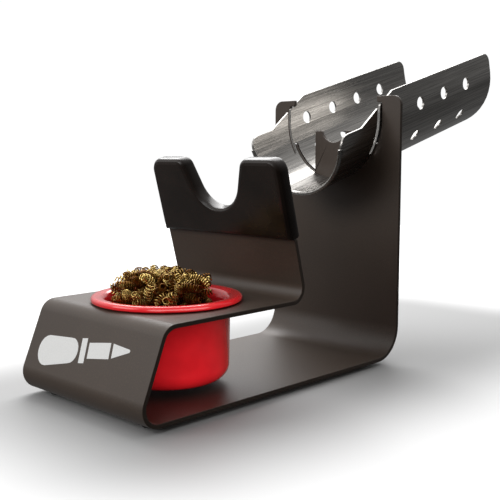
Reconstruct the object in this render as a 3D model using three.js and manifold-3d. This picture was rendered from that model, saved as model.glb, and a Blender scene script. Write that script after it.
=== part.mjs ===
// Soldering iron station: one strip of bent, powder-coated sheet carries a steel guard trough for
// the hot barrel, a silicone-sleeved rest for the handle and a cup of brass wool for the tip.
// Millimetres, +Z up. The iron lies along Y, its handle towards -Y and its tip towards +Y.
// While it is built, y = 0 is the back of the rear upright; the whole is centred in Y at the end.
import * as THREE from "three";
import { mergeVertices } from "three/addons/utils/BufferGeometryUtils.js";
import Module from "manifold-3d";

const wasm = await Module();
wasm.setup();

// ---- Driving dimensions ----
const GAP = 0.3; // clearance between pieces that touch
const ARC_STEP = 7.5; // degrees turned by each facet of a bend or a corner
const COARSE_STEP = 18; // and of a small round on a turned piece
const TURNED_SEGMENTS = 56; // facets round a turned piece
const PAST = 5; // how far a cutting tool runs past what it cuts

// Bent sheet frame
const SHEET = 1.9;
const FRAME_WIDTH = 84;
const UPRIGHT_SPACING = 74; // back of the rear upright to the foot of the front one
const SHELF_HEIGHT = 41.3; // top of the shelf above the floor
const SHELF_FRONT_MARGIN = 2.6; // cup rim to the shelf's front corner
const SHELF_BACK_MARGIN = 11; // cup rim to the foot of the front upright
const FRONT_PANEL_RUN = 16; // how far the front panel's foot stands ahead of its top
const UPRIGHT_LEAN = 14.6; // degrees the front upright leans forward
const BEND_REAR = 16.4; // outside radii of the bends
const BEND_FRONT_LOW = 8.3;
const BEND_FRONT_HIGH = 7.6;
const BEND_UPRIGHT = 5.5; // inside the corner between shelf and upright
const EAR_RISE = 11.3; // top of the ears above the trough's centre line
const EAR_CORNER = 5;
const HOOK_THICK = 3.2;
const HOOK_REACH = 3.4; // how far each ear's hook overhangs the trough's wall
const HOOK_CORNER = 1.4;

// Tongue that carries the iron's barrel inside the trough
const TONGUE_HALF_WIDTH = 12.6;
const TONGUE_DROP = 5.6; // its top below the trough's centre line
const BARREL_NOTCH_RADIUS = 8.8;
const BARREL_NOTCH_DROP = 11.8; // lowest point of the notch below the centre line
const TONGUE_CORNER = 1;

// Guard trough, measured along its axis from the front face of the rear upright
const TROUGH_SHEET = 1.2;
const TROUGH_RADIUS = 30.5; // outside
const TROUGH_HEIGHT = 123.2; // centre line above the floor, at the upright
const TROUGH_TILT = 15.5; // degrees its rear end rises
const TROUGH_FRONT = 34.4; // reach ahead of the upright
const TROUGH_REAR = 114; // reach behind it
const WALL_HIGH = 11.6; // wall top above the centre line, behind the sloped cut
const WALL_LOW = -0.7; // and ahead of it
const SLOPE_START = 16.8; // foot of the sloped cut, ahead of the upright
const SLOPE_END = 13; // head of the sloped cut, behind the upright
const REAR_CORNER = 5.5;
const FRONT_CORNER = 6;
const BEAD_RADIUS = 1.1; // rolled edge round the front of the arc
const BEAD_ANGLE = 13; // degrees below the centre line where it starts
const VENT_RADIUS = 3.35;
const VENT_PITCH = 24.1;
const VENT_FIRST = 12.9;
const VENT_COUNT = 4;
const VENT_HIGH = -0.7; // centre of the upper row, from the centre line
const VENT_LOW_ANGLE = 37.2; // degrees below the centre line of the lower row
const KEY_ANGLE = 24; // degrees below the centre line where the upright starts to key into the trough
const RELIEF_WIDTH = 2; // slot in each wall, ahead of the upright
const RELIEF_SETBACK = 1.2; // wall left between that slot and the upright
const RELIEF_ANGLE = 34;

// Silicone sleeve on the front upright, measured up the upright from the shelf
const PAD_WALL = 2.8;
const PAD_BOTTOM = 28;
const PAD_TOP = 64.4;
const PAD_CORNER = 6;
const PAD_BEVEL = 2.6;
const PAD_COVER = 4.5; // silicone over the top edge of the sheet
const REST_RADIUS = 15; // round bottom of the handle's rest
const REST_BOTTOM = 41;
const REST_FLARE = 20.4; // degrees each side of the rest opens outwards
const REST_CORNER = 5;

// Cup that hangs in the shelf
const CUP_RADIUS = 28;
const CUP_WALL = 1.6;
const CUP_FLANGE = 5.3; // rim beyond the cup's wall
const CUP_LIP = 2.7; // height of the rolled rim
const CUP_CORNER = 7;
const CUP_CLEARANCE = 2.5; // under the cup, above the base

// Brass wool
const WOOL_SLACK = 2.7; // between the wool and the cup's wall, where the wool sits centred
const WOOL_SHOULDER = 10; // height and depth of the mound's round shoulder
const WOOL_RISE = 11.8; // top of the wool above the rim
const WOOL_OFFSET = 1.4; // how far it sits forward and left of the cup's centre

// Feet
const FOOT_RADIUS = 5;
const FOOT_HEIGHT = 2;
const FOOT_INSET = 10; // centre of a foot from the side of the base
const FOOT_BEND_MARGIN = 4; // edge of a foot from the nearest bend

// ---- Sizes that follow from them ----
const rad = THREE.MathUtils.degToRad;
const rimRadius = CUP_RADIUS + CUP_FLANGE;
const shelfLength = SHELF_FRONT_MARGIN + 2 * rimRadius + SHELF_BACK_MARGIN;
const cupY = -(UPRIGHT_SPACING + SHELF_BACK_MARGIN + rimRadius);
const shelfFront = -(UPRIGHT_SPACING + shelfLength);
const baseFront = shelfFront - FRONT_PANEL_RUN;
const baseTop = FOOT_HEIGHT + SHEET;
const rearTop = TROUGH_HEIGHT + EAR_RISE;
const hookBottom = rearTop - HOOK_THICK;
const sleevedHalfWidth = FRAME_WIDTH / 2 - PAD_WALL - GAP; // the sheet inside the sleeve
const sheetTop = PAD_TOP - PAD_COVER - GAP;
const lean = rad(UPRIGHT_LEAN);
const tilt = rad(TROUGH_TILT);
const rimTop = SHELF_HEIGHT + GAP + CUP_LIP;
const cupBottom = baseTop + CUP_CLEARANCE;
const woolRadius = CUP_RADIUS - CUP_WALL - WOOL_SLACK;

// ---- Frames in which the flat outlines are drawn ----
// Each takes an outline's x, y and depth to a direction of the object, from an origin.
const frameOf = (x, y, z, origin) => new THREE.Matrix4().makeBasis(x, y, z).setPosition(origin);
const X = new THREE.Vector3(1, 0, 0);
const Y = new THREE.Vector3(0, 1, 0);
const Z = new THREE.Vector3(0, 0, 1);
const troughAxis = new THREE.Vector3(0, Math.cos(tilt), Math.sin(tilt));
const troughUp = new THREE.Vector3(0, -Math.sin(tilt), Math.cos(tilt));
const troughOrigin = new THREE.Vector3(0, -SHEET, TROUGH_HEIGHT);
const uprightUp = new THREE.Vector3(0, -Math.sin(lean), Math.cos(lean));
const uprightFront = new THREE.Vector3(0, -Math.cos(lean), -Math.sin(lean));
const uprightFoot = new THREE.Vector3(0, -UPRIGHT_SPACING, SHELF_HEIGHT);
const sideView = frameOf(Y, Z, X, new THREE.Vector3());
const rearView = (y) => frameOf(X, Z, Y.clone().negate(), new THREE.Vector3(0, y, 0));
const troughSection = frameOf(X.clone().negate(), troughUp, troughAxis, troughOrigin);
const troughSide = frameOf(troughAxis, troughUp, X, troughOrigin);
const uprightView = frameOf(X, uprightUp, uprightFront, uprightFoot);

// ---- Helpers ----
const at = (x, y) => new THREE.Vector2(x, y);

// Points of an arc, ends included.
function arc(cx, cy, rx, ry, fromDeg, toDeg, step = ARC_STEP) {
  const steps = Math.max(2, Math.ceil(Math.abs(toDeg - fromDeg) / step));
  return Array.from({ length: steps + 1 }, (_, i) => {
    const angle = rad(fromDeg + ((toDeg - fromDeg) * i) / steps);
    return at(cx + rx * Math.cos(angle), cy + ry * Math.sin(angle));
  });
}

// A polyline with its inner corners rounded, one radius for each.
function rounded(points, radii, closed = false) {
  const n = points.length;
  const out = [];
  points.forEach((corner, i) => {
    const radius = radii[i];
    if (!radius || (!closed && (i === 0 || i === n - 1))) {
      out.push(corner.clone());
      return;
    }
    const before = points[(i + n - 1) % n].clone().sub(corner).normalize();
    const after = points[(i + 1) % n].clone().sub(corner).normalize();
    const half = Math.acos(THREE.MathUtils.clamp(before.dot(after), -1, 1)) / 2;
    const centre = before.clone().add(after).normalize().multiplyScalar(radius / Math.sin(half));
    centre.add(corner);
    const start = before.clone().multiplyScalar(radius / Math.tan(half)).add(corner).sub(centre);
    const end = after.clone().multiplyScalar(radius / Math.tan(half)).add(corner).sub(centre);
    const from = THREE.MathUtils.radToDeg(start.angle());
    let turn = THREE.MathUtils.radToDeg(end.angle()) - from;
    turn -= 360 * Math.round(turn / 360);
    out.push(...arc(centre.x, centre.y, radius, radius, from, from + turn));
  });
  return out;
}

// A polyline moved sideways by a distance, to its right as it is walked.
function beside(points, distance) {
  const right = points.slice(1).map((p, i) => {
    const along = p.clone().sub(points[i]).normalize();
    return at(along.y, -along.x);
  });
  return points.map((p, i) => {
    const a = right[Math.max(i - 1, 0)];
    const b = right[Math.min(i, right.length - 1)];
    const mitre = a.clone().add(b).normalize();
    return p.clone().add(mitre.multiplyScalar(distance / mitre.dot(a)));
  });
}

// A three.js geometry as a manifold-3d solid, and back.
function solid(geometry) {
  geometry.deleteAttribute("normal");
  geometry.deleteAttribute("uv");
  const merged = mergeVertices(geometry, 1e-4);
  return new wasm.Manifold(
    new wasm.Mesh({
      numProp: 3,
      vertProperties: merged.attributes.position.array,
      triVerts: new Uint32Array(merged.index.array),
    }),
  );
}

function geometryOf(made) {
  const { vertProperties, triVerts, numProp } = made.getMesh();
  const geometry = new THREE.BufferGeometry();
  const buffer = new THREE.InterleavedBuffer(vertProperties, numProp);
  geometry.setAttribute("position", new THREE.InterleavedBufferAttribute(buffer, 3, 0));
  geometry.setIndex(new THREE.BufferAttribute(triVerts, 1));
  return geometry.toNonIndexed();
}

// An outline extruded between two depths of one of the frames above.
function slab(points, frame, from, to, bevel = 0) {
  const geometry = new THREE.ExtrudeGeometry(new THREE.Shape(points), {
    depth: to - from - 2 * bevel,
    bevelEnabled: bevel > 0,
    bevelThickness: bevel,
    bevelSize: bevel,
    bevelOffset: -bevel,
    bevelSegments: 3,
  });
  geometry.translate(0, 0, from + bevel);
  geometry.applyMatrix4(frame);
  return solid(geometry);
}

// A closed profile of (radius, height) points turned about a vertical axis.
function turned(points, x, y, segments = TURNED_SEGMENTS) {
  const geometry = new THREE.LatheGeometry(points, segments);
  geometry.rotateX(Math.PI / 2);
  geometry.translate(x, y, 0);
  return solid(geometry);
}

function rod(radius, from, to, segments = 20) {
  const along = to.clone().sub(from);
  const geometry = new THREE.CylinderGeometry(radius, radius, along.length(), segments);
  geometry.applyQuaternion(new THREE.Quaternion().setFromUnitVectors(Y, along.normalize()));
  const middle = from.clone().add(to).multiplyScalar(0.5);
  geometry.translate(middle.x, middle.y, middle.z);
  return solid(geometry);
}

const box = (x0, x1, y0, y1) => [at(x0, y0), at(x1, y0), at(x1, y1), at(x0, y1)];
const mirrored = (points) => points.map((p) => at(-p.x, p.y)).reverse();

const station = new THREE.Group();

function add(name, made, material) {
  const mesh = new THREE.Mesh(geometryOf(made), material);
  mesh.name = name;
  station.add(mesh);
}

// ---- Materials ----
const coat = new THREE.MeshStandardMaterial({ color: 0x4b433c, roughness: 0.45, metalness: 0.2 });
const silicone = new THREE.MeshStandardMaterial({ color: 0x161413, roughness: 0.5 });
const steel = new THREE.MeshStandardMaterial({ color: 0xb4b2ae, roughness: 0.3, metalness: 1 });
const enamel = new THREE.MeshStandardMaterial({ color: 0xbf2228, roughness: 0.2 });
const brass = new THREE.MeshStandardMaterial({ color: 0xc09a4a, roughness: 0.35, metalness: 1 });

// ---- Bent sheet frame ----
// The strip seen from the side: down the rear upright, along the base, up the front panel, back
// along the shelf and up the front upright.
function strip() {
  const uprightEnd = uprightFoot.clone().addScaledVector(uprightUp, sheetTop);
  const outside = [
    at(0, rearTop),
    at(0, FOOT_HEIGHT),
    at(baseFront, FOOT_HEIGHT),
    at(shelfFront, SHELF_HEIGHT),
    at(-UPRIGHT_SPACING, SHELF_HEIGHT),
    at(uprightEnd.y, uprightEnd.z),
  ];
  const outer = [0, BEND_REAR, BEND_FRONT_LOW, BEND_FRONT_HIGH, BEND_UPRIGHT, 0];
  const inner = [0, BEND_REAR - SHEET, BEND_FRONT_LOW - SHEET, BEND_FRONT_HIGH - SHEET,
    BEND_UPRIGHT + SHEET, 0];
  const profile = rounded(outside, outer).concat(rounded(beside(outside, SHEET), inner).reverse());
  return slab(profile, sideView, -FRAME_WIDTH / 2, FRAME_WIDTH / 2);
}

// The trough's cross-section cut by the upright's vertical plane is an ellipse, taller than the
// trough is wide by the tilt. These are its points at an angle below the centre line.
const ellipseAt = (radius, angleDeg) => at(
  radius * Math.cos(rad(angleDeg)),
  TROUGH_HEIGHT - (radius * Math.sin(rad(angleDeg))) / Math.cos(tilt),
);
const ellipseArc = (radius, fromDeg, toDeg) =>
  arc(0, TROUGH_HEIGHT, radius, radius / Math.cos(tilt), -fromDeg, -toDeg);

// Half of the opening in the rear upright, from the hook down to the middle of the tongue.
function rearOpeningHalf() {
  const seat = TROUGH_RADIUS + GAP;
  const bore = TROUGH_RADIUS - TROUGH_SHEET;
  const tongueAngle = THREE.MathUtils.radToDeg(Math.acos(TONGUE_HALF_WIDTH / bore));
  const tongueTop = TROUGH_HEIGHT - TONGUE_DROP;
  const notchCentre = TROUGH_HEIGHT - BARREL_NOTCH_DROP + BARREL_NOTCH_RADIUS;
  const notchFlat = Math.sqrt(BARREL_NOTCH_RADIUS ** 2 - (tongueTop - notchCentre) ** 2);
  const notchAngle = THREE.MathUtils.radToDeg(Math.acos(notchFlat / BARREL_NOTCH_RADIUS));
  const tip = seat - HOOK_REACH;
  const hook = rounded(
    [at(tip, rearTop + PAST), at(tip, hookBottom), at(seat, hookBottom)],
    [0, HOOK_CORNER, 0],
  );
  const tongue = rounded(
    [at(TONGUE_HALF_WIDTH, ellipseAt(bore, tongueAngle).y), at(TONGUE_HALF_WIDTH, tongueTop),
      at(notchFlat, tongueTop)],
    [0, TONGUE_CORNER, 0],
  );
  return [
    ...hook,
    ...ellipseArc(seat, 0, KEY_ANGLE),
    ...ellipseArc(bore, KEY_ANGLE, tongueAngle).slice(0, -1),
    ...tongue.slice(0, -1),
    ...arc(0, notchCentre, BARREL_NOTCH_RADIUS, BARREL_NOTCH_RADIUS, -notchAngle, -90),
  ];
}

function rearOpening() {
  const half = rearOpeningHalf();
  const outline = half.concat(mirrored(half.slice(0, -1)));
  return slab(outline, rearView(PAST), 0, SHEET + 2 * PAST);
}

// The U of the handle's rest, grown by an offset; the sleeve's own and the sheet's share it.
function restHalf(offset, top) {
  const radius = REST_RADIUS + offset;
  const centre = REST_BOTTOM + REST_RADIUS;
  const side = rad(REST_FLARE);
  const tangent = at(radius * Math.cos(side), centre - radius * Math.sin(side));
  const reach = tangent.x + (top - tangent.y) * Math.tan(side);
  return { bottom: arc(0, centre, radius, radius, -90, -REST_FLARE), reach };
}

// The plate with a U in its top, as an outline from its lower left round to its upper left.
function restPlate(halfWidth, bottom, top, offset, corner, innerCorner) {
  const { bottom: round, reach } = restHalf(offset, top);
  const right = rounded(
    [round[round.length - 1], at(reach, top), at(halfWidth, top), at(halfWidth, bottom)],
    [0, innerCorner, corner, 0],
  );
  const half = round.slice(0, -1).concat(right);
  return half.concat(mirrored(half.slice(1)));
}

// What the front upright loses: its sides step in under the sleeve, and its top has the U.
function uprightTrim() {
  const wanted = restPlate(
    sleevedHalfWidth, PAD_BOTTOM - PAST, sheetTop, PAD_WALL + GAP, PAD_CORNER - PAD_WALL,
    REST_CORNER - PAD_WALL,
  );
  const whole = slab(
    box(-FRAME_WIDTH / 2 - PAST, FRAME_WIDTH / 2 + PAST, PAD_BOTTOM - GAP, sheetTop + PAST),
    uprightView, -SHEET - PAST, PAST,
  );
  return whole.subtract(slab(wanted, uprightView, -SHEET - 2 * PAST, 2 * PAST));
}

// The corner of an ear that its rounding takes off.
function earTrim(side) {
  const edge = FRAME_WIDTH / 2;
  const corner = box(edge - EAR_CORNER, edge + PAST, rearTop - EAR_CORNER, rearTop + PAST);
  const kept = rounded(
    [at(0, 0), at(edge, 0), at(edge, rearTop), at(0, rearTop)],
    [0, 0, EAR_CORNER, 0],
  );
  const turn = (outline) => (side > 0 ? outline : mirrored(outline));
  return slab(turn(corner), rearView(PAST), 0, SHEET + 2 * PAST)
    .subtract(slab(turn(kept), rearView(2 * PAST), 0, SHEET + 4 * PAST));
}

function cupHole() {
  const centre = new THREE.Vector3(0, cupY, SHELF_HEIGHT);
  const reach = new THREE.Vector3(0, 0, SHEET + PAST);
  return rod(CUP_RADIUS + GAP, centre.clone().sub(reach), centre.clone().add(reach), 64);
}

function makeFrame() {
  const made = strip()
    .subtract(rearOpening())
    .subtract(earTrim(1))
    .subtract(earTrim(-1))
    .subtract(uprightTrim())
    .subtract(cupHole());
  add("frame", made, coat);
}

// ---- Guard trough ----
function troughShell() {
  const bore = TROUGH_RADIUS - TROUGH_SHEET;
  const half = (radius, from, to) => arc(0, 0, radius, radius, from, to);
  const outside = [at(-TROUGH_RADIUS, WALL_HIGH), ...half(TROUGH_RADIUS, 180, 360),
    at(TROUGH_RADIUS, WALL_HIGH)];
  const inside = [at(bore, WALL_HIGH), ...half(bore, 360, 180), at(-bore, WALL_HIGH)];
  return slab(outside.concat(inside), troughSection, -TROUGH_FRONT, TROUGH_REAR);
}

// What the walls keep, seen from the side: low at the front, sloping up past the upright.
function wallOutline() {
  return rounded(
    [
      at(-TROUGH_FRONT, -TROUGH_RADIUS - PAST),
      at(TROUGH_REAR, -TROUGH_RADIUS - PAST),
      at(TROUGH_REAR, WALL_HIGH),
      at(SLOPE_END, WALL_HIGH),
      at(-SLOPE_START, WALL_LOW),
      at(-TROUGH_FRONT, WALL_LOW),
    ],
    [0, 0, REAR_CORNER, 1, 1, FRONT_CORNER],
    true,
  );
}

function vents() {
  const reach = TROUGH_RADIUS + PAST;
  const low = rad(VENT_LOW_ANGLE);
  const made = [];
  for (let i = 0; i < VENT_COUNT; i += 1) {
    const centre = troughOrigin.clone().addScaledVector(troughAxis, VENT_FIRST + i * VENT_PITCH);
    const high = centre.clone().addScaledVector(troughUp, VENT_HIGH);
    const from = (origin, direction, distance) => origin.clone().addScaledVector(direction, distance);
    made.push(rod(VENT_RADIUS, from(high, X, -reach), from(high, X, reach)));
    for (const side of [-1, 1]) {
      const out = X.clone().multiplyScalar(side * Math.cos(low));
      out.addScaledVector(troughUp, -Math.sin(low));
      made.push(rod(VENT_RADIUS, from(centre, out, TROUGH_RADIUS / 2), from(centre, out, reach)));
    }
  }
  return made;
}

// The slot that the upright's lower part stands in, across the bottom from one key to the other.
function keySlot() {
  const reach = TROUGH_RADIUS + PAST;
  const top = ellipseAt(TROUGH_RADIUS - TROUGH_SHEET, KEY_ANGLE).y + GAP;
  return slab(
    box(-reach, reach, TROUGH_HEIGHT - reach - PAST, top),
    rearView(GAP), 0, SHEET + 2 * GAP,
  );
}

// A slot in each wall just ahead of the upright, open at the top.
function reliefSlots() {
  const bottom = ellipseAt(TROUGH_RADIUS, RELIEF_ANGLE).y;
  const reach = TROUGH_RADIUS + PAST;
  const inner = TROUGH_RADIUS / 2;
  const rearEdge = -SHEET - RELIEF_SETBACK;
  return [-1, 1].map((side) => {
    const x = side * (inner + reach) / 2;
    const half = (reach - inner) / 2;
    return slab(
      box(x - half, x + half, bottom, TROUGH_HEIGHT + WALL_HIGH + PAST),
      rearView(rearEdge), 0, RELIEF_WIDTH,
    );
  });
}

// The walls stop short of the ears' hooks.
function hookRelief() {
  const reach = TROUGH_RADIUS + PAST;
  return slab(
    box(-reach, reach, hookBottom - GAP, rearTop + PAST),
    rearView(GAP), 0, SHEET + 2 * GAP,
  );
}

// The rolled edge, a ring about the trough's axis with its upper part cut away.
function frontBead() {
  const middle = TROUGH_RADIUS - TROUGH_SHEET / 2;
  const profile = arc(middle, 0, BEAD_RADIUS, BEAD_RADIUS, 0, 360 - 2 * COARSE_STEP, 2 * COARSE_STEP);
  const geometry = new THREE.LatheGeometry([...profile, profile[0]], TURNED_SEGMENTS);
  geometry.rotateX(Math.PI / 2);
  geometry.translate(0, 0, -TROUGH_FRONT);
  geometry.applyMatrix4(troughSection);
  const reach = TROUGH_RADIUS + PAST;
  const top = -TROUGH_RADIUS * Math.sin(rad(BEAD_ANGLE));
  return solid(geometry).intersect(
    slab(box(-reach, reach, -reach, top), troughSection, -TROUGH_FRONT - PAST, -TROUGH_FRONT + PAST),
  );
}

function makeTrough() {
  const walls = slab(wallOutline(), troughSide, -TROUGH_RADIUS - PAST, TROUGH_RADIUS + PAST);
  let made = troughShell().intersect(walls).add(frontBead());
  for (const cut of [...vents(), keySlot(), ...reliefSlots(), hookRelief()]) {
    made = made.subtract(cut);
  }
  add("guard_trough", made, steel);
}

// ---- Silicone sleeve of the front upright ----
function makeRestPad() {
  const outline = restPlate(FRAME_WIDTH / 2, PAD_BOTTOM, PAD_TOP, 0, PAD_CORNER, REST_CORNER);
  const body = slab(outline, uprightView, -SHEET - GAP - PAD_WALL, GAP + PAD_WALL, PAD_BEVEL);
  const pocket = restPlate(
    sleevedHalfWidth + GAP, PAD_BOTTOM - PAST, sheetTop + GAP, PAD_WALL, PAD_CORNER - PAD_WALL,
    REST_CORNER - PAD_WALL,
  );
  add("handle_rest_pad", body.subtract(slab(pocket, uprightView, -SHEET - GAP, GAP)), silicone);
}

// ---- Cup and brass wool ----
function cupProfile() {
  const bore = CUP_RADIUS - CUP_WALL;
  const seat = SHELF_HEIGHT + GAP;
  const crest = (bore + rimRadius) / 2;
  const round = (radius, from, to) =>
    arc(CUP_RADIUS - CUP_CORNER, cupBottom + CUP_CORNER, radius, radius, from, to, COARSE_STEP);
  return [
    at(0, cupBottom),
    ...round(CUP_CORNER, -90, 0),
    at(CUP_RADIUS, seat),
    at(rimRadius, seat),
    ...arc(crest, seat, rimRadius - crest, CUP_LIP, COARSE_STEP, 180 - COARSE_STEP, COARSE_STEP),
    at(bore, seat),
    ...round(CUP_CORNER - CUP_WALL, 0, -90),
    at(0, cupBottom + CUP_WALL),
  ];
}

function woolProfile() {
  const bottom = cupBottom + CUP_WALL + GAP;
  const top = rimTop + WOOL_RISE;
  const crown = 2; // the top is this much higher in the middle than at the shoulder
  const shoulderX = woolRadius - WOOL_SHOULDER;
  const shoulderZ = top - crown - WOOL_SHOULDER;
  return [
    at(0, bottom),
    at(woolRadius - CUP_CORNER, bottom),
    at(woolRadius, bottom + CUP_CORNER),
    ...arc(shoulderX, shoulderZ, WOOL_SHOULDER, WOOL_SHOULDER, 0, 90, COARSE_STEP),
    at(0, top),
  ];
}

function makeCup() {
  add("cleaner_cup", turned(cupProfile(), 0, cupY), enamel);
  add("brass_wool", turned(woolProfile(), -WOOL_OFFSET, cupY - WOOL_OFFSET, 40), brass);
}

// ---- Feet ----
function makeFeet() {
  const x = FRAME_WIDTH / 2 - FOOT_INSET;
  const rear = -(BEND_REAR + FOOT_BEND_MARGIN + FOOT_RADIUS);
  const front = baseFront + BEND_FRONT_LOW + FOOT_BEND_MARGIN + FOOT_RADIUS;
  for (const [end, y] of [["rear", rear], ["front", front]])
    for (const [side, sign] of [["left", -1], ["right", 1]]) {
      const floor = new THREE.Vector3(sign * x, y, 0);
      const top = new THREE.Vector3(sign * x, y, FOOT_HEIGHT - GAP);
      add(`foot_${end}_${side}`, rod(FOOT_RADIUS, floor, top, 32), silicone);
    }
}

makeFrame();
makeTrough();
makeRestPad();
makeCup();
makeFeet();

const extent = new THREE.Box3().setFromObject(station);
station.position.y = -(extent.min.y + extent.max.y) / 2;

export default station;
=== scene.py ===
"""A soldering iron's bench rest: bent steel frame, stainless guard, silicone sleeve, brass wool cup.

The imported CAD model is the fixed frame. Every visible piece is made around it, in metres.
"""

import math

import bmesh
import bpy
import numpy as np
from bpy.props import FloatProperty, FloatVectorProperty, IntProperty, PointerProperty
from mathutils import Matrix, Vector


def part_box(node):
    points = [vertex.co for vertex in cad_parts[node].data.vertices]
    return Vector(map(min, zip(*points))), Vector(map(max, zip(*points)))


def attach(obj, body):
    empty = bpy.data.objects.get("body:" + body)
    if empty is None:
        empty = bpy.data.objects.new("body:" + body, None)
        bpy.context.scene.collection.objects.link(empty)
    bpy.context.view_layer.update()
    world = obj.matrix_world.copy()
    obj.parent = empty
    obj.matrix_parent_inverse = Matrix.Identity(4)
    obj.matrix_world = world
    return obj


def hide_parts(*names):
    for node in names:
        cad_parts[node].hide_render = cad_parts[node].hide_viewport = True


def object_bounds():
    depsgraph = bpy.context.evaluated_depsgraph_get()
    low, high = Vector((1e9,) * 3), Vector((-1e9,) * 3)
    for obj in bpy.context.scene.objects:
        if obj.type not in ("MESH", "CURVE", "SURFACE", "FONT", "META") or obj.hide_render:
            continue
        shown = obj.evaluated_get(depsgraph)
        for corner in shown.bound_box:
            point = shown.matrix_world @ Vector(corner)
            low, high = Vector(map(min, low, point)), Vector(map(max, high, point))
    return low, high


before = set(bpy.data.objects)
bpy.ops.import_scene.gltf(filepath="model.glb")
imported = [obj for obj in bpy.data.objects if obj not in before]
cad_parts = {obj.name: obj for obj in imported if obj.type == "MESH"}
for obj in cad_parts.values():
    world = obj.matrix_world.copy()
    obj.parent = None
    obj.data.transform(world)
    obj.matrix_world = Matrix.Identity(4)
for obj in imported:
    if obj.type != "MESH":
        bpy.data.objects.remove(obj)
CAD_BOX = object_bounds()

bl_info = {
    "name": "Soldering iron rest",
    "version": (1, 0, 0),
    "blender": (4, 5, 0),
    "location": "3D View > Sidebar > Iron Rest",
    "description": "Makes a sheet metal iron rest with a brass wool cup, piece by piece",
    "category": "Object",
}

MM = 0.001

# Most of a noise pattern's values lie between these two.
NOISE = {"From Min": 0.3, "From Max": 0.7}

# Where things are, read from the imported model.
CUP_LOW, CUP_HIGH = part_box("cleaner_cup")
WOOL_LOW, WOOL_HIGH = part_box("brass_wool")
CUP_CENTRE = (CUP_LOW + CUP_HIGH) / 2
RIM_RADIUS = (CUP_HIGH.x - CUP_LOW.x) / 2
FEET = [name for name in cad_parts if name.startswith("foot")]


def linear(code):
    """An sRGB hex colour as linear red, green, blue and alpha."""
    parts = [int(code[i : i + 2], 16) / 255 for i in (1, 3, 5)]
    return (*(c / 12.92 if c <= 0.04045 else ((c + 0.055) / 1.055) ** 2.4 for c in parts), 1.0)


def colour(name, description, code):
    """A colour that a user can change."""
    return FloatVectorProperty(
        name=name, description=description, subtype="COLOR", size=4, min=0, max=1,
        default=linear(code),
    )


def length(name, description, default, low=0.0, high=0.3):
    """A size in metres that a user can change."""
    return FloatProperty(
        name=name, description=description, default=default, min=low, max=high,
        unit="LENGTH", precision=5,
    )


# Sizes and colours --------------------------------------------------------------------------------


class SheetSettings(bpy.types.PropertyGroup):
    """The bent steel frame and its coat."""

    edge: length("Edge rounding", "How far the coat rounds the cut edges of the sheet", 0.3 * MM)
    coat: colour("Coat", "Colour of the powder coat", "#483C33")
    fleck: colour("Fleck", "Lighter grains in the powder coat", "#5C4E41")
    grain: length("Grain", "Width of one grain of the coat's fine texture", 0.55 * MM)


class GuardSettings(bpy.types.PropertyGroup):
    """The stainless guard that holds the hot iron."""

    edge: length("Edge rounding", "How far the sheet's edges are deburred", 0.12 * MM)
    steel: colour("Steel", "Colour of the brushed stainless steel", "#B3B0AC")
    line: length("Brush line", "Width of one brushed line", 0.5 * MM)
    tilt: FloatProperty(
        name="Tilt", description="How far the guard's rear end points up",
        default=math.radians(15.5), subtype="ANGLE", unit="ROTATION",
    )


class SleeveSettings(bpy.types.PropertyGroup):
    """The silicone sleeve on the handle rest."""

    edge: length("Edge rounding", "Rounding of the sleeve's moulded edges", 0.18 * MM)
    rubber: colour("Silicone", "Colour of the silicone", "#231B16")


class CupSettings(bpy.types.PropertyGroup):
    """The cup that holds the brass wool."""

    radius: length("Radius", "Outside radius of the cup below its rim", 28 * MM)
    wall: length("Wall", "Thickness of the cup's wall", 1.6 * MM)
    lip: length("Lip", "Height of the rim's rolled edge", 2.7 * MM)
    corner: length("Corner", "Outside radius between the cup's wall and bottom", 7 * MM)
    plastic: colour("Plastic", "Colour of the glossy plastic", "#D81C24")


class WoolSettings(bpy.types.PropertyGroup):
    """The ringlets of brass ribbon in the cup."""

    curls: IntProperty(
        name="Top curls", description="How many ringlets stand up from the wool",
        default=160, min=1, max=300,
    )
    coil: length("Coil radius", "Radius of one ringlet's turns", 1.95 * MM)
    pitch: length("Pitch", "From one turn of a ringlet to the next", 1.18 * MM)
    ribbon: length("Ribbon", "Width of the brass ribbon", 0.7 * MM)
    gauge: length("Gauge", "Thickness of the brass ribbon", 0.42 * MM)
    seed: IntProperty(
        name="Seed", description="Another number gives another tangle", default=41, min=0,
    )
    bright: colour("Bright brass", "Colour of the cleanest brass", "#FFE08A")
    # Besides tarnish, this colour is the painted shade on the wool's core.
    tarnish_and_shade: colour("Dull brass", "Colour of the tarnished brass", "#70481A")


class FootSettings(bpy.types.PropertyGroup):
    """The rubber feet."""

    crown: length("Crown", "How far a foot's edge is rounded", 0.6 * MM)
    rubber: colour("Rubber", "Colour of the feet", "#191817")


class MarkSettings(bpy.types.PropertyGroup):
    """The plain pictogram of a soldering iron on the front."""

    span: length("Span", "Length of the pictogram", 61 * MM)
    shift: length("Shift", "How far it is printed right of the panel's middle", -5 * MM, -0.03)
    tilt: FloatProperty(
        name="Tilt", description="How far its tip points up from level",
        default=math.radians(9), subtype="ANGLE", unit="ROTATION",
    )
    lift: length("Ink", "Thickness of the printed ink", 0.06 * MM)
    ink: colour("Ink", "Colour of the printed ink", "#FDFDFB")


class StageSettings(bpy.types.PropertyGroup):
    """The floor, the lamps and the camera."""

    floor: colour("Floor", "Colour of the floor", "#F2F2F2")
    key: FloatProperty(
        name="Key lamp", description="Power of the large lamp above and behind",
        default=11.0, min=0, unit="POWER",
    )
    fill: FloatProperty(
        name="Fill lamp", description="Power of the soft lamp in front",
        default=4.7, min=0, unit="POWER",
    )
    card: FloatProperty(
        name="Cup card", description="Power of the reflector that only the cup sees",
        default=2.2, min=0, unit="POWER",
    )
    lens: FloatProperty(
        name="Lens", description="Focal length on a 36 mm sensor", default=60.1, min=10, max=300,
    )


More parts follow.
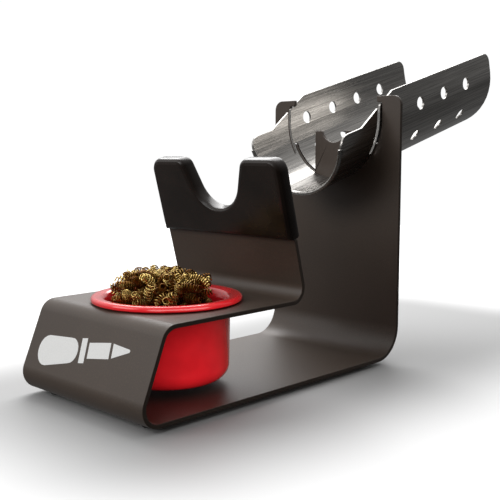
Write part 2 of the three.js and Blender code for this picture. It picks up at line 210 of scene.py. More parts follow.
GROUPS = {
    "rest_sheet": SheetSettings,
    "rest_guard": GuardSettings,
    "rest_sleeve": SleeveSettings,
    "rest_cup": CupSettings,
    "rest_wool": WoolSettings,
    "rest_feet": FootSettings,
    "rest_mark": MarkSettings,
    "rest_stage": StageSettings,
}


# Materials ----------------------------------------------------------------------------------------


def add(tree, kind, settings=None, links=None):
    """Adds a shader node, sets its properties and inputs, and links inputs to (node, output)."""
    node = tree.nodes.new("ShaderNode" + kind)
    for key, value in (settings or {}).items():
        if isinstance(key, str) and hasattr(node, key):
            setattr(node, key, value)
        else:
            node.inputs[key].default_value = value
    for key, (source, output) in (links or {}).items():
        tree.links.new(source.outputs[output], node.inputs[key])
    return node


def new_material(name):
    """An empty material with its output and Principled node, and the object's own coordinates."""
    material = bpy.data.materials.new(name)
    material.use_nodes = True
    tree = material.node_tree
    tree.nodes.clear()
    surface = add(tree, "BsdfPrincipled")
    add(tree, "OutputMaterial", links={"Surface": (surface, "BSDF")})
    places = add(tree, "TexCoord")
    return material, tree, surface, places


def set_inputs(node, **values):
    """Sets sockets by name; an underscore in a keyword stands for a space."""
    for key, value in values.items():
        node.inputs[key.replace("_", " ")].default_value = value


def powder_coated_steel(sheet):
    """Polyester powder coat, sprayed and baked: a satin skin with a fine, even, slightly peeled
    texture that spreads highlights wide, and flecks a shade lighter than the rest."""
    # The real grain is about 0.2 mm, too fine to show, so it is drawn coarser.
    material, tree, surface, places = new_material("powder_coated_steel")
    fine = add(tree, "Mapping", {"vector_type": "TEXTURE", "Scale": (sheet.grain,) * 3},
               {"Vector": (places, "Object")})
    peel = add(tree, "Mapping", {"vector_type": "TEXTURE", "Scale": (2.4 * MM,) * 3},
               {"Vector": (places, "Object")})
    cloud = add(tree, "Mapping", {"vector_type": "TEXTURE", "Scale": (38 * MM,) * 3},
                {"Vector": (places, "Object")})
    grains = add(tree, "TexNoise", {"Scale": 1.0, "Detail": 1.0}, {"Vector": (fine, 0)})
    waves = add(tree, "TexNoise", {"Scale": 1.0, "Detail": 0.0}, {"Vector": (peel, 0)})
    drift = add(tree, "TexNoise", {"Scale": 1.0, "Detail": 2.0}, {"Vector": (cloud, 0)})
    flecks = add(tree, "MapRange", {"From Min": 0.46, "From Max": 0.74, "To Max": 0.5},
                 {"Value": (grains, 0)})
    tint = add(tree, "Mix", {"data_type": "RGBA", 6: sheet.coat, 7: sheet.fleck},
               {0: (flecks, 0)})
    shade = add(tree, "MapRange", {**NOISE, "To Min": 0.92, "To Max": 1.08}, {"Value": (drift, 0)})
    worn = add(tree, "VectorMath", {"operation": "SCALE"}, {0: (tint, 2), "Scale": (shade, 0)})
    tree.links.new(worn.outputs[0], surface.inputs["Base Color"])
    sheen = add(tree, "MapRange", {**NOISE, "To Min": 0.4, "To Max": 0.52}, {"Value": (grains, 0)})
    tree.links.new(sheen.outputs[0], surface.inputs["Roughness"])
    height = add(tree, "Math", {"operation": "MULTIPLY_ADD", 1: 0.35},
                 {0: (grains, 0), 2: (waves, 0)})
    bump = add(tree, "Bump", {"Strength": 0.35, "Distance": 0.05 * MM}, {"Height": (height, 0)})
    tree.links.new(bump.outputs[0], surface.inputs["Normal"])
    set_inputs(surface, IOR=1.5)
    return material


def brushed_stainless(guard):
    """Cold rolled stainless sheet, brushed along its length: fine straight lines that draw every
    reflection out across them, with a few deeper scratches."""
    # Real brushed lines are under 0.1 mm wide, too fine to show, so they are drawn coarser.
    material, tree, surface, places = new_material("brushed_stainless")
    turn = (guard.tilt, 0, 0)
    lines = add(tree, "Mapping", {"vector_type": "TEXTURE", "Rotation": turn,
                                  "Scale": (guard.line, 45 * MM, guard.line)},
                {"Vector": (places, "Object")})
    bands = add(tree, "Mapping", {"vector_type": "TEXTURE", "Rotation": turn,
                                  "Scale": (3.2 * MM, 160 * MM, 3.2 * MM)},
                {"Vector": (places, "Object")})
    scratch = add(tree, "Mapping", {"vector_type": "TEXTURE", "Rotation": turn,
                                    "Scale": (1.1 * MM, 18 * MM, 1.1 * MM)},
                  {"Vector": (places, "Object")})
    brush = add(tree, "TexNoise", {"Scale": 1.0, "Detail": 3.0, "Roughness": 0.6},
                {"Vector": (lines, 0)})
    stripe = add(tree, "TexNoise", {"Scale": 1.0, "Detail": 2.0}, {"Vector": (bands, 0)})
    marks = add(tree, "TexNoise", {"Scale": 1.0, "Detail": 1.0}, {"Vector": (scratch, 0)})
    shade = add(tree, "MapRange", {"From Min": 0.34, "From Max": 0.66, "To Min": 0.55,
                                   "To Max": 1.15}, {"Value": (brush, 0)})
    tint = add(tree, "VectorMath", {"operation": "SCALE", 0: guard.steel[:3]},
               {"Scale": (shade, 0)})
    tree.links.new(tint.outputs[0], surface.inputs["Base Color"])
    rough = add(tree, "MapRange", {**NOISE, "To Min": 0.2, "To Max": 0.34}, {"Value": (stripe, 0)})
    tree.links.new(rough.outputs[0], surface.inputs["Roughness"])
    deep = add(tree, "MapRange", {"From Min": 0.6, "From Max": 0.75}, {"Value": (marks, 0)})
    height = add(tree, "Math", {"operation": "MULTIPLY_ADD", 1: -0.5},
                 {0: (deep, 0), 2: (brush, 0)})
    bump = add(tree, "Bump", {"Strength": 0.5, "Distance": 0.02 * MM}, {"Height": (height, 0)})
    tree.links.new(bump.outputs[0], surface.inputs["Normal"])
    set_inputs(surface, Metallic=1.0)
    return material


def moulded_silicone(sleeve):
    """Heat-proof silicone rubber from a finely blasted mould: near black, satin, with a faint
    grain and the light bloom that handling leaves."""
    # The blasted grain is about 0.1 mm, too fine to show, so it is drawn at 0.5 mm.
    material, tree, surface, places = new_material("moulded_silicone")
    grain = add(tree, "Mapping", {"vector_type": "TEXTURE", "Scale": (0.5 * MM,) * 3},
                {"Vector": (places, "Object")})
    patch = add(tree, "Mapping", {"vector_type": "TEXTURE", "Scale": (14 * MM,) * 3},
                {"Vector": (places, "Object")})
    dots = add(tree, "TexNoise", {"Scale": 1.0, "Detail": 1.0}, {"Vector": (grain, 0)})
    bloom = add(tree, "TexNoise", {"Scale": 1.0, "Detail": 3.0}, {"Vector": (patch, 0)})
    shade = add(tree, "MapRange", {"From Min": 0.35, "From Max": 0.7, "To Min": 0.85,
                                   "To Max": 1.35}, {"Value": (bloom, 0)})
    tint = add(tree, "VectorMath", {"operation": "SCALE", 0: sleeve.rubber[:3]},
               {"Scale": (shade, 0)})
    tree.links.new(tint.outputs[0], surface.inputs["Base Color"])
    rough = add(tree, "MapRange", {**NOISE, "To Min": 0.17, "To Max": 0.26}, {"Value": (bloom, 0)})
    tree.links.new(rough.outputs[0], surface.inputs["Roughness"])
    bump = add(tree, "Bump", {"Strength": 0.25, "Distance": 0.02 * MM}, {"Height": (dots, 0)})
    tree.links.new(bump.outputs[0], surface.inputs["Normal"])
    set_inputs(surface, IOR=1.41)
    return material


def polished_plastic(cup):
    """Red ABS from a polished mould: a clear, sharp shine over deep colour, with the slight
    waviness and cloudiness of a moulded wall."""
    material, tree, surface, places = new_material("polished_red_plastic")
    wide = add(tree, "Mapping", {"vector_type": "TEXTURE", "Scale": (9 * MM,) * 3},
               {"Vector": (places, "Object")})
    flow = add(tree, "TexNoise", {"Scale": 1.0, "Detail": 2.0}, {"Vector": (wide, 0)})
    shade = add(tree, "MapRange", {**NOISE, "To Min": 0.92, "To Max": 1.06}, {"Value": (flow, 0)})
    tint = add(tree, "VectorMath", {"operation": "SCALE", 0: cup.plastic[:3]},
               {"Scale": (shade, 0)})
    tree.links.new(tint.outputs[0], surface.inputs["Base Color"])
    rough = add(tree, "MapRange", {**NOISE, "To Min": 0.14, "To Max": 0.22}, {"Value": (flow, 0)})
    tree.links.new(rough.outputs[0], surface.inputs["Roughness"])
    bump = add(tree, "Bump", {"Strength": 0.2, "Distance": 0.08 * MM}, {"Height": (flow, 0)})
    tree.links.new(bump.outputs[0], surface.inputs["Normal"])
    set_inputs(surface, IOR=1.54, Coat_Weight=0.5, Coat_Roughness=0.05)
    return material


def turned_brass(wool):
    """Brass turnings off a lathe: bright ribbon, browner where heat and flux have tarnished it,
    with fine tool marks on it."""
    # Real tool marks are under 0.1 mm apart, too fine to show, so they are drawn at 0.3 mm.
    material, tree, surface, places = new_material("turned_brass")
    # The strand value gives each ringlet its own tarnish; on the core it is 1 all over, which paints
    # shade there.
    strand = add(tree, "Attribute", {"attribute_name": "strand"})
    patch = add(tree, "Mapping", {"vector_type": "TEXTURE", "Scale": (2.6 * MM,) * 3},
                {"Vector": (places, "Object")})
    stain = add(tree, "TexNoise", {"Scale": 1.0, "Detail": 3.0}, {"Vector": (patch, 0)})
    blend = add(tree, "Math", {"operation": "MULTIPLY_ADD", 1: 0.55},
                {0: (strand, "Fac"), 2: (stain, 0)})
    tarnish = add(tree, "MapRange", {"From Min": 0.4, "From Max": 0.88}, {"Value": (blend, 0)})
    tint = add(tree, "Mix", {"data_type": "RGBA", 6: wool.bright, 7: wool.tarnish_and_shade},
               {0: (tarnish, 0)})
    tree.links.new(tint.outputs[2], surface.inputs["Base Color"])
    rough = add(tree, "MapRange", {"To Min": 0.14, "To Max": 0.34}, {"Value": (tarnish, 0)})
    tree.links.new(rough.outputs[0], surface.inputs["Roughness"])
    fine = add(tree, "Mapping", {"vector_type": "TEXTURE", "Scale": (0.3 * MM,) * 3},
               {"Vector": (places, "Object")})
    cuts = add(tree, "TexNoise", {"Scale": 1.0, "Detail": 1.0}, {"Vector": (fine, 0)})
    bump = add(tree, "Bump", {"Strength": 0.3, "Distance": 0.03 * MM}, {"Height": (cuts, 0)})
    tree.links.new(bump.outputs[0], surface.inputs["Normal"])
    set_inputs(surface, Metallic=1.0)
    return material


def matt_rubber(feet):
    """Moulded black rubber: dull, with a faint mottle from the compound."""
    material, tree, surface, places = new_material("matt_rubber")
    grain = add(tree, "Mapping", {"vector_type": "TEXTURE", "Scale": (0.9 * MM,) * 3},
                {"Vector": (places, "Object")})
    mottle = add(tree, "TexNoise", {"Scale": 1.0, "Detail": 3.0}, {"Vector": (grain, 0)})
    shade = add(tree, "MapRange", {**NOISE, "To Min": 0.8, "To Max": 1.3}, {"Value": (mottle, 0)})
    tint = add(tree, "VectorMath", {"operation": "SCALE", 0: feet.rubber[:3]},
               {"Scale": (shade, 0)})
    tree.links.new(tint.outputs[0], surface.inputs["Base Color"])
    bump = add(tree, "Bump", {"Strength": 0.3, "Distance": 0.05 * MM}, {"Height": (mottle, 0)})
    tree.links.new(bump.outputs[0], surface.inputs["Normal"])
    set_inputs(surface, Roughness=0.75, IOR=1.52)
    return material


def screen_ink(mark):
    """Screen-printed epoxy ink: flat white, a little uneven where the mesh laid it down."""
    # The printing mesh is about 0.1 mm, too fine to show, so it is drawn at 0.6 mm.
    material, tree, surface, places = new_material("screen_printed_ink")
    mesh = add(tree, "Mapping", {"vector_type": "TEXTURE", "Scale": (0.6 * MM,) * 3},
               {"Vector": (places, "Object")})
    print_noise = add(tree, "TexNoise", {"Scale": 1.0, "Detail": 2.0}, {"Vector": (mesh, 0)})
    shade = add(tree, "MapRange", {**NOISE, "To Min": 0.94, "To Max": 1.0}, {"Value": (print_noise, 0)})
    tint = add(tree, "VectorMath", {"operation": "SCALE", 0: mark.ink[:3]},
               {"Scale": (shade, 0)})
    tree.links.new(tint.outputs[0], surface.inputs["Base Color"])
    set_inputs(surface, Roughness=0.5, IOR=1.5)
    return material


# Meshes -------------------------------------------------------------------------------------------


def new_piece(name, mesh, material):
    """A linked object with that mesh and material, shaded smooth."""
    mesh.materials.clear()
    mesh.materials.append(material)
    mesh.shade_smooth()
    piece = bpy.data.objects.new(name, mesh)
    bpy.context.scene.collection.objects.link(piece)
    return piece


def settle(piece, body, slot, *nodes):
    """Puts a finished piece on its CAD body, in place of its CAD nodes."""
    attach(piece, body)
    if nodes:
        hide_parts(*nodes)
    return piece


def weighted(piece):
    """Large flat faces keep their own normals, and only the rounded edges turn."""
    modifier = piece.modifiers.new("flat faces", "WEIGHTED_NORMAL")
    modifier.weight = 50
    modifier.keep_sharp = False
    modifier.use_face_influence = True


def softened(node, name, width, material, steps=2):
    """A copy of a CAD node's mesh with its edges rounded by that width.

    The flat faces' triangles are joined first, so that only edges of the real shape are left."""
    same_point = 0.002 * MM
    same_plane, four_sided, sharp = math.radians(0.5), math.radians(60), math.radians(28)
    mesh = bpy.data.meshes.new(name)
    shape = bmesh.new()
    shape.from_mesh(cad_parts[node].data)
    bmesh.ops.remove_doubles(shape, verts=shape.verts, dist=same_point)
    bmesh.ops.join_triangles(
        shape, faces=shape.faces, angle_face_threshold=same_plane,
        angle_shape_threshold=four_sided,
    )
    edges = [
        e for e in shape.edges
        if len(e.link_faces) == 2 and e.calc_face_angle() > sharp
    ]
    bmesh.ops.bevel(
        shape, geom=edges, offset=width, segments=steps, profile=0.5, affect="EDGES",
        clamp_overlap=False, miter_outer="ARC", face_strength_mode="ALL",
    )
    shape.to_mesh(mesh)
    shape.free()
    piece = new_piece(name, mesh, material)
    weighted(piece)
    return piece


def filleted(corners, step=7.5):
    """An open line through (x, y, radius) corners, with an arc of that radius at each, drawn with
    a point about every step degrees."""
    line = []
    for i, (x, y, radius) in enumerate(corners):
        here = Vector((x, y))
        if radius <= 0 or i in (0, len(corners) - 1):
            line.append(here)
            continue
        back = (Vector(corners[i - 1][:2]) - here).normalized()
        on = (Vector(corners[i + 1][:2]) - here).normalized()
        half = back.angle(on) / 2
        centre = here + (back + on).normalized() * (radius / math.sin(half))
        start = here + back * (radius / math.tan(half)) - centre
        sweep = math.pi - 2 * half
        turn = 1 if back.x * on.y - back.y * on.x < 0 else -1
        count = max(2, math.ceil(math.degrees(sweep) / step))
        for k in range(count + 1):
            line.append(centre + Matrix.Rotation(turn * sweep * k / count, 2) @ start)
    return line


def lathe(name, profile, centre, material, sides=128):
    """Turns an (r, z) profile round the vertical line through centre. It starts and ends on it."""
    shape = bmesh.new()
    rings = []
    for r, z in profile:
        if r < 1e-7:
            rings.append([shape.verts.new((centre.x, centre.y, z))])
            continue
        rings.append([
            shape.verts.new((centre.x + r * math.cos(a), centre.y + r * math.sin(a), z))
            for a in (2 * math.pi * k / sides for k in range(sides))
        ])
    for low, high in zip(rings, rings[1:]):
        for k in range(sides):
            n = (k + 1) % sides
            corners = [low[k % len(low)], low[n % len(low)], high[n % len(high)], high[k % len(high)]]
            shape.faces.new(list(dict.fromkeys(corners)))
    bmesh.ops.recalc_face_normals(shape, faces=shape.faces)
    mesh = bpy.data.meshes.new(name)
    shape.to_mesh(mesh)
    shape.free()
    return new_piece(name, mesh, material)


# Pieces -------------------------------------------------------------------------------------------


class IRONREST_OT_sheet_frame(bpy.types.Operator):
    """The frame: one bent sheet of powder coated steel"""

    bl_idname = "ironrest.sheet_frame"
    bl_label = "Bent frame"

    def execute(self, context):
        sheet = context.scene.rest_sheet
        piece = softened("frame", "bent_frame", sheet.edge, powder_coated_steel(sheet))
        settle(piece, "stand", "powder_coat", "frame")
        return {"FINISHED"}


class IRONREST_OT_guard(bpy.types.Operator):
    """The guard: a trough of brushed stainless steel that holds the hot iron"""

    bl_idname = "ironrest.guard"
    bl_label = "Iron guard"

    def execute(self, context):
        guard = context.scene.rest_guard
        piece = softened("guard_trough", "iron_guard", guard.edge, brushed_stainless(guard))
        settle(piece, "stand", "stainless", "guard_trough")
        return {"FINISHED"}


class IRONREST_OT_sleeve(bpy.types.Operator):
    """The sleeve: silicone moulded over the handle rest"""

    bl_idname = "ironrest.sleeve"
    bl_label = "Silicone sleeve"

    def execute(self, context):
        sleeve = context.scene.rest_sleeve
        piece = softened(
            "handle_rest_pad", "silicone_sleeve", sleeve.edge, moulded_silicone(sleeve), steps=3,
        )
        settle(piece, "rest_sleeve", "silicone", "handle_rest_pad")
        return {"FINISHED"}


class IRONREST_OT_cup(bpy.types.Operator):
    """The cup: glossy red plastic with a rolled rim"""

    bl_idname = "ironrest.cup"
    bl_label = "Wool cup"

    def execute(self, context):
        cup = context.scene.rest_cup
        low, high = CUP_LOW.z, CUP_HIGH.z
        bore = cup.radius - cup.wall
        seat = high - cup.lip
        draft = 0.6 * MM
        # From the middle of the bottom up the outside, over the rolled rim and down the inside.
        profile = filleted([
            (0, low, 0),
            (cup.radius - draft, low, cup.corner),
            (cup.radius, seat, 0),
            (RIM_RADIUS - 0.9 * MM, seat, 0.3 * MM),
            (RIM_RADIUS, seat + 0.5 * MM, 0.4 * MM),
            (RIM_RADIUS, high - 0.2 * MM, 1.5 * MM),
            (RIM_RADIUS - 2.4 * MM, high, 3.4 * MM),
            (bore + 1.2 * MM, high - 0.5 * MM, 3.0 * MM),
            (bore, high - 4.2 * MM, 3.2 * MM),
            (bore - draft, low + cup.wall, cup.corner - cup.wall),
            (0, low + cup.wall, 0),
        ])
        piece = lathe("wool_cup", profile, CUP_CENTRE, polished_plastic(cup))
        settle(piece, "cup", "red_cup", "cleaner_cup")
        bpy.data.collections["lit_by_card"].objects.link(piece)
        return {"FINISHED"}


def wire_curl(path, radius, pitch, width, thick, turn, steps, corners):
    """A ringlet: rings of points round a flattened wire that is wound in turns along a path."""
    path = np.asarray(path)
    along = np.concatenate([[0], np.cumsum(np.linalg.norm(np.diff(path, axis=0), axis=1))])
    count = max(6, int(along[-1] / pitch * steps))
    at = np.linspace(0, along[-1], count + 1)
    centre = np.stack([np.interp(at, along, path[:, k]) for k in range(3)], 1)
    tangent = np.gradient(centre, axis=0)
    tangent /= np.linalg.norm(tangent, axis=1)[:, None]
    off_axis = [0.31, 0.93, 0.17]  # slanting, so that a path rarely runs along it
    side = np.cross(tangent, off_axis)
    side /= np.linalg.norm(side, axis=1)[:, None]
    other = np.cross(tangent, side)
    angle = turn + 2 * np.pi * at / pitch
    # The turns tighten to six tenths of the radius over the last two turns at each end.
    ends = np.clip(np.minimum(at, along[-1] - at) / (2 * pitch), 0, 1)
    out = side * np.cos(angle)[:, None] + other * np.sin(angle)[:, None]
    middle = centre + out * (radius * (0.6 + 0.4 * ends))[:, None]
    around = 2 * np.pi * (np.arange(corners) + 0.5) / corners
    return np.stack([
        middle + out * (thick / 2 * math.cos(a)) + tangent * (width / 2 * math.sin(a))
        for a in around
    ], 1)


def crown_paths(rng, wool, centre, outer):
    """Ringlets whose ends stand out of the mound in all directions, as in a head of curls."""
    rim, top = CUP_HIGH.z, WOOL_HIGH.z - 0.5 * MM
    golden_angle = math.pi * (3 - math.sqrt(5))
    spread = 0.84  # share of the ringlets spread over the mound; the rest stand round its edge
    middle_height, drop = 0.76, 0.62  # of the way from the rim to the top, and its fall to the edge
    lean = wool.coil - 0.6 * MM  # how much further out a ringlet may reach when it lies flat
    edge = outer + lean
    paths = []
    for k in range(wool.curls):
        share = min(1, math.sqrt((k + 0.5) / (spread * wool.curls)))
        angle = k * golden_angle + rng.uniform(-0.3, 0.3)
        outward = np.array([math.cos(angle), math.sin(angle), 0])
        level = rim + (top - rim) * (middle_height - drop * share**4) + rng.uniform(-4, 4.5) * MM
        tip = np.array([*centre, 0]) + outward * edge * share
        # In the middle they point up, towards the edge more and more outward, each a little astray.
        aim = outward * share * 1.3 + [0, 0, 1.3 - 0.9 * share] + rng.normal(0, 0.36, 3)
        aim /= np.linalg.norm(aim)
        flat = math.hypot(aim[0], aim[1])
        tip[2] = min(level, top - wool.coil * flat)
        bend = np.cross(aim, rng.normal(0, 1, 3))
        bend *= rng.uniform(0, 1.5) * MM / np.linalg.norm(bend)
        t = np.linspace(0, 1, 12)[:, None]
        line = tip - aim * rng.uniform(7.5, 10) * MM * (1 - t) + bend * np.sin(math.pi * t)
        # A point too far out is pulled in, to keep the turns about within the wool's radius.
        reach = np.linalg.norm(line[:, :2] - centre, axis=1)[:, None]
        most = edge - lean * (1 - flat)
        line[:, :2] = centre + (line[:, :2] - centre) * np.minimum(1, most / reach)
        paths.append(line)
    return paths


def plug_paths(rng, wool, centre, outer):
    """Ringlets wound round the plug of wool inside the cup, and in rings over its underside."""
    low = WOOL_LOW.z + wool.coil + wool.ribbon / 2
    high = CUP_HIGH.z - 5 * MM
    row_gap = 3.2
    rows = round((high - low) / (row_gap * MM))
    # Each ring's radius and height in metres, and the millimetres its ringlets wander up and down.
    rings = [(outer, low + (high - low) * row / rows, row_gap) for row in range(rows + 1)]
    rings += [(outer * share, low, 0.1) for share in (0.84, 0.66, 0.48, 0.3, 0.12)]
    points = 14
    wave = np.sin(np.linspace(-1.5, 1.5, points))
    paths = []
    for radius, height, play in rings:
        at = rng.uniform(0, 2 * math.pi)
        end = at + 2 * math.pi
        while at < end:
            sweep = rng.uniform(0.5, 1.1) * outer / max(radius, 4 * MM)
            turn = np.linspace(at, at + sweep, points)
            r = radius - rng.uniform(0, 1.2) * MM
            z = np.clip(height + rng.uniform(-play, play) * MM * wave, low, high + 1 * MM)
            paths.append(np.stack([
                centre[0] + r * np.cos(turn), centre[1] + r * np.sin(turn), z,
            ], 1))
            at += sweep * 0.97  # the next ringlet starts just before this one ends
    return paths


def curls_mesh(name, rng, paths, wool, steps, corners):
    """One mesh of ringlets, each with its own shade between 0 and 1 in the strand attribute.

    A turn of a ringlet has that many steps, and its wire's section has that many corners."""
    points, faces, shades, total = [], [], [], 0
    for path in paths:
        curl = wire_curl(
            path,
            radius=wool.coil * rng.uniform(0.82, 1.08),
            pitch=wool.pitch * rng.uniform(0.9, 1.15),
            width=wool.ribbon * rng.uniform(0.8, 1.1),
            thick=wool.gauge,
            turn=rng.uniform(0, 6.28),
            steps=steps,
            corners=corners,
        )
        n = len(curl)
        points.append(curl.reshape(-1, 3))
        grid = total + np.arange(n * corners).reshape(n, corners)
        after = np.roll(grid, -1, 1)
        quads = np.stack([grid[:-1], after[:-1], after[1:], grid[1:]], 2).reshape(-1, 4)
        faces += quads.tolist() + [grid[0, ::-1].tolist(), grid[-1].tolist()]
        shades.append(np.full(n * corners, rng.uniform(0, 1)))
        total += n * corners
    mesh = bpy.data.meshes.new(name)
    mesh.from_pydata(np.concatenate(points).tolist(), [], faces)
    shade = mesh.attributes.new("strand", "FLOAT", "POINT")
    shade.data.foreach_set("value", np.concatenate(shades).astype(np.float32))
    return mesh


class IRONREST_OT_wool(bpy.types.Operator):
    """The brass wool: ringlets of brass ribbon wound round seeded paths"""

    bl_idname = "ironrest.wool"
    bl_label = "Brass wool"

    def execute(self, context):
        wool = context.scene.rest_wool
        rng = np.random.default_rng(wool.seed)
        brass = turned_brass(wool)
        middle = (WOOL_LOW + WOOL_HIGH) / 2
        centre = np.array([middle.x, middle.y])
        outer = (WOOL_HIGH.x - WOOL_LOW.x) / 2 - wool.coil - wool.ribbon / 2
        paths = crown_paths(rng, wool, centre, outer)
        crown = curls_mesh("brass_crown", rng, paths, wool, steps=12, corners=5)
        settle(new_piece("brass_crown", crown, brass), "wool", "brass_wool", "brass_wool")
        paths = plug_paths(rng, wool, centre, outer)
        plug = curls_mesh("brass_plug", rng, paths, wool, steps=9, corners=4)
        settle(new_piece("brass_plug", plug, brass), "wool", "brass_wool")
        # A plain core inside the ringlets keeps them from being seen through. Its colour is painted
        # shade: it gets the dull brass colour all over, standing for the dark inside of the wool.
        inner, bottom = outer - 1 * MM, WOOL_LOW.z + 3 * MM
        core = filleted([
            (0, bottom, 0), (inner, bottom, 4 * MM),
            (inner, CUP_HIGH.z - 6 * MM, 6 * MM), (0, CUP_HIGH.z, 0),
        ])
        shade_core = lathe("painted_shade_core", core, middle, brass, sides=40)
        # Strand 1 at every point gives the core the dull brass colour all over, as painted shade.
        tarnish_and_shade = shade_core.data.attributes.new("strand", "FLOAT", "POINT")
        tarnish_and_shade.data.foreach_set("value", np.ones(len(shade_core.data.vertices), np.float32))
        settle(shade_core, "wool", "brass_wool")
        return {"FINISHED"}


class IRONREST_OT_feet(bpy.types.Operator):
    """The four feet: rubber buttons with rounded edges"""

    bl_idname = "ironrest.feet"
    bl_label = "Rubber feet"

    def execute(self, context):
        feet = context.scene.rest_feet
        material = matt_rubber(feet)
        for node in FEET:
            low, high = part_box(node)
            radius = (high.x - low.x) / 2
            profile = filleted([
                (0, low.z, 0),
                (radius - 0.35 * MM, low.z, feet.crown),
                (radius, high.z - 0.2 * MM, 0.1 * MM),
                (radius - 0.2 * MM, high.z, 0),
                (0, high.z, 0),
            ], step=15)
            piece = lathe("rubber_" + node, profile, (low + high) / 2, material, sides=48)
            settle(piece, "stand", "foot_rubber", node)
        return {"FINISHED"}


def front_panel():
    """The outer face of the sloping front: its lowest middle point, up direction, normal and height."""
    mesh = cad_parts["frame"].data
    leaning = [p for p in mesh.polygons if p.normal.y < -0.8 and 0.2 < p.normal.z < 0.6]
    face = max(leaning, key=lambda p: p.area)
    normal = face.normal.copy()
    points = [mesh.vertices[v].co for v in face.vertices]
    up = Vector((1, 0, 0)).cross(normal) * -1
    low = min(p.dot(up) for p in points)
    high = max(p.dot(up) for p in points)
    on = points[0] - Vector((points[0].x, 0, 0))
    base = on + up * (low - on.dot(up))
    return base, up, normal, high - low


def capsule(x0, x1, r0, r1, steps=10):
    """A flat bar along x with rounded ends of radius r0 and r1, as (x, y) points."""
    right = [(x1 + r1 * math.sin(a), -r1 * math.cos(a))
             for a in (math.pi * k / steps for k in range(steps + 1))]
    left = [(x0 - r0 * math.sin(a), r0 * math.cos(a))
            for a in (math.pi * k / steps for k in range(steps + 1))]
    return right + left


def bar(x0, x1, half):
    """A flat bar along x with square ends, as (x, y) points."""
    return [(x0, -half), (x1, -half), (x1, half), (x0, half)]


def iron_outlines():
    """A soldering iron along x: its handle, collar, barrel and tip, and their length in all."""
    handle = capsule(-23, -7, 6.6, 5.4)
    collar = bar(0, 3.6, 5.2)
    barrel = bar(5.2, 19, 3.3)
    tip = [(20.6, -3), (31, -0.6), (31.4, 0), (31, 0.6), (20.6, 3)]
    return [handle, collar, barrel, tip], 61


class IRONREST_OT_front_mark(bpy.types.Operator):
    """The pictogram: a plain soldering iron printed on the front"""

    bl_idname = "ironrest.front_mark"
    bl_label = "Front pictogram"

    def execute(self, context):
        mark = context.scene.rest_mark
        base, up, normal, rise = front_panel()
        right = Vector((1, 0, 0))
        outlines, drawn_length = iron_outlines()
        scale = mark.span / drawn_length
        middle = base + up * (rise / 2) + right * mark.shift
        tilt = Matrix.Rotation(mark.tilt, 2)
        sunk = 0.02 * MM  # how deep the ink's hidden underside lies in the coat
        shape = bmesh.new()
        for outline in outlines:
            low, high = [], []
            for x, y in outline:
                p = tilt @ Vector((x, y)) * scale
                on_face = middle + right * p.x + up * p.y
                low.append(shape.verts.new(on_face - normal * sunk))
                high.append(shape.verts.new(on_face + normal * mark.lift))
            shape.faces.new(high)
            shape.faces.new(low[::-1])
            for k in range(len(outline)):
                n = (k + 1) % len(outline)
                shape.faces.new([low[k], low[n], high[n], high[k]])
        bmesh.ops.recalc_face_normals(shape, faces=shape.faces)
        mesh = bpy.data.meshes.new("front_mark")
        shape.to_mesh(mesh)
        shape.free()
        piece = new_piece("front_mark", mesh, screen_ink(mark))
        mesh.set_sharp_from_angle(angle=math.radians(30))
        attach(piece, "stand")
        return {"FINISHED"}


# Stage --------------------------------------------------------------------------------------------


FLOOR_HALF = 0.7
LOW_MIDDLE = (0, 0, 0.05)  # what the studio lamps face
KEY_SIZE, KEY_PLACE = (0.9, 0.9), (-0.5, 0.5, 0.85)
FILL_SIZE, FILL_PLACE = (0.8, 0.6), (-0.35, -1.1, 0.6)
CARD_SIZE, CARD_PLACE = (0.8, 0.3), CUP_CENTRE + Vector((0.37, -0.15, 0.09))
WHITE = 1.02  # just past white, so that the surround shows as clean white
CAMERA_PLACE = (0.27982, -0.32886, 0.10615)
CAMERA_DOWN, CAMERA_LEFT = 6.67, 44.15  # degrees below level, and turned left from facing +Y


def area_lamp(name, size, power, place, target):
    """A soft rectangular lamp at place, facing target."""
    lamp = bpy.data.lights.new(name, "AREA")
    lamp.shape = "RECTANGLE"
    lamp.size, lamp.size_y = size
    lamp.energy = power
    holder = bpy.data.objects.new(name, lamp)
    holder.location = place
    holder.rotation_euler = (Vector(target) - Vector(place)).to_track_quat("-Z", "Y").to_euler()
    bpy.context.scene.collection.objects.link(holder)
    return holder


def studio_paper(stage):
    """Smooth white paper, with the soft shade of a white room painted round the object."""
    material, tree, surface, places = new_material("studio_paper")
    # The distance past the CAD box: the ground is greyer close to the object.
    away = add(tree, "VectorMath", {"operation": "ABSOLUTE"}, {0: (places, "Object")})
    past = add(tree, "VectorMath", {"operation": "SUBTRACT", 1: CAD_BOX[1]}, {0: (away, 0)})
    out = add(tree, "VectorMath", {"operation": "MAXIMUM", 1: (0, 0, 0)}, {0: (past, 0)})
    gap = add(tree, "VectorMath", {"operation": "LENGTH"}, {0: (out, 0)})
    shade = add(tree, "MapRange", {"interpolation_type": "SMOOTHSTEP", "From Min": 15 * MM,
                                   "From Max": 90 * MM, "To Min": 0.5, "To Max": 1.08},
                {"Value": (gap, "Value")})
    tint = add(tree, "VectorMath", {"operation": "SCALE", 0: stage.floor[:3]},
               {"Scale": (shade, 0)})
    tree.links.new(tint.outputs[0], surface.inputs["Base Color"])
    set_inputs(surface, Roughness=0.6, IOR=1.45)
    return material


def lay_floor(stage):
    """The floor. The camera sees it, but it isn't in reflections, bounced light or shadow rays."""
    mesh = bpy.data.meshes.new("floor")
    half = FLOOR_HALF
    mesh.from_pydata(
        [(-half, -half, 0), (half, -half, 0), (half, half, 0), (-half, half, 0)],
        [], [(0, 1, 2, 3)],
    )
    floor = new_piece("floor", mesh, studio_paper(stage))
    floor.visible_glossy = False
    floor.visible_diffuse = False
    floor.visible_shadow = False


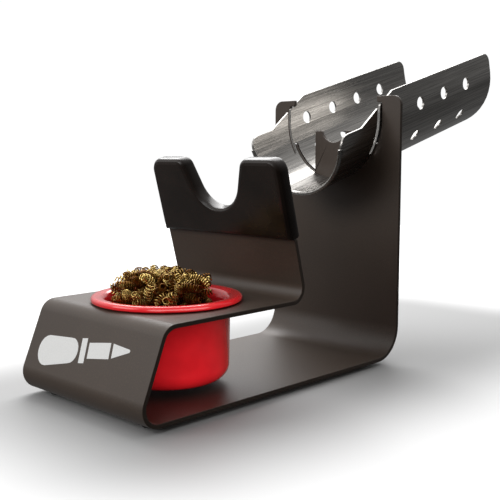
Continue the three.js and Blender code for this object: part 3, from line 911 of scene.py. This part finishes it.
def light_sky(scene):
    """The camera sees a white surround. What lights the object is a sky that is brighter overhead
    and towards -X."""
    world = bpy.data.worlds.new("studio")
    world.use_nodes = True
    tree = world.node_tree
    tree.nodes.clear()
    ray = add(tree, "LightPath")
    directions = add(tree, "TexCoord")
    split = add(tree, "SeparateXYZ", links={0: (directions, "Generated")})
    rise = add(tree, "MapRange", {"From Min": -0.1, "From Max": 0.85, "To Min": 0.1,
                                  "To Max": 0.75}, {"Value": (split, "Z")})
    across = add(tree, "VectorMath", {"operation": "DOT_PRODUCT", 1: (-1, 0.15, 0)},
                 {0: (directions, "Generated")})
    side = add(tree, "MapRange", {"From Min": -0.8, "From Max": 0.9, "To Min": 0.25,
                                  "To Max": 2.1}, {"Value": (across, "Value")})
    lit = add(tree, "Math", {"operation": "MULTIPLY"}, {0: (rise, 0), 1: (side, 0)})
    level = add(tree, "Mix", {"data_type": "FLOAT", 3: WHITE},
                {0: (ray, "Is Camera Ray"), 2: (lit, 0)})
    sky = add(tree, "Background", {"Color": (1, 1, 1, 1)}, {"Strength": (level, 0)})
    add(tree, "OutputWorld", links={"Surface": (sky, 0)})
    scene.world = world


def place_camera(scene, lens):
    """The camera stands to the front right, higher than the cup, and looks slightly down."""
    data = bpy.data.cameras.new("camera")
    data.lens = lens
    data.sensor_width = 36
    data.clip_start = 0.01
    camera = bpy.data.objects.new("camera", data)
    camera.location = CAMERA_PLACE
    camera.rotation_euler = (math.radians(90 - CAMERA_DOWN), 0, math.radians(CAMERA_LEFT))
    scene.collection.objects.link(camera)
    scene.camera = camera


class IRONREST_OT_stage(bpy.types.Operator):
    """The stage: a pale floor, soft studio light and the camera"""

    bl_idname = "ironrest.stage"
    bl_label = "Stage"

    def execute(self, context):
        scene, stage = context.scene, context.scene.rest_stage
        scene.view_settings.view_transform = "Standard"
        lay_floor(stage)
        light_sky(scene)
        area_lamp("key", KEY_SIZE, stage.key, KEY_PLACE, LOW_MIDDLE)
        area_lamp("fill", FILL_SIZE, stage.fill, FILL_PLACE, LOW_MIDDLE)
        card = area_lamp("cup_card", CARD_SIZE, stage.card, CARD_PLACE, CUP_CENTRE)
        # The wool cup's operator adds the cup to this collection, so the card lights only the cup.
        lit = bpy.data.collections.new("lit_by_card")
        card.light_linking.receiver_collection = lit
        place_camera(scene, stage.lens)
        return {"FINISHED"}


OPERATORS = [
    IRONREST_OT_stage,
    IRONREST_OT_sheet_frame,
    IRONREST_OT_guard,
    IRONREST_OT_sleeve,
    IRONREST_OT_cup,
    IRONREST_OT_wool,
    IRONREST_OT_feet,
    IRONREST_OT_front_mark,
]


class IRONREST_PT_pieces(bpy.types.Panel):
    """Lists the pieces and their sizes and colours"""

    bl_label = "Iron Rest"
    bl_space_type = "VIEW_3D"
    bl_region_type = "UI"
    bl_category = "Iron Rest"

    def draw(self, context):
        for operator in OPERATORS:
            self.layout.operator(operator.bl_idname)
        for name in GROUPS:
            box = self.layout.box()
            group = getattr(context.scene, name)
            for key in group.__annotations__:
                box.prop(group, key)


CLASSES = [*GROUPS.values(), *OPERATORS, IRONREST_PT_pieces]


def register():
    for each in CLASSES:
        bpy.utils.register_class(each)
    for name, group in GROUPS.items():
        setattr(bpy.types.Scene, name, PointerProperty(type=group))


def unregister():
    for name in GROUPS:
        delattr(bpy.types.Scene, name)
    for each in reversed(CLASSES):
        bpy.utils.unregister_class(each)


def main():
    """Makes every piece in order."""
    register()
    for operator in OPERATORS:
        group, name = operator.bl_idname.split(".")
        getattr(getattr(bpy.ops, group), name)()


if __name__ == "__main__":
    main()
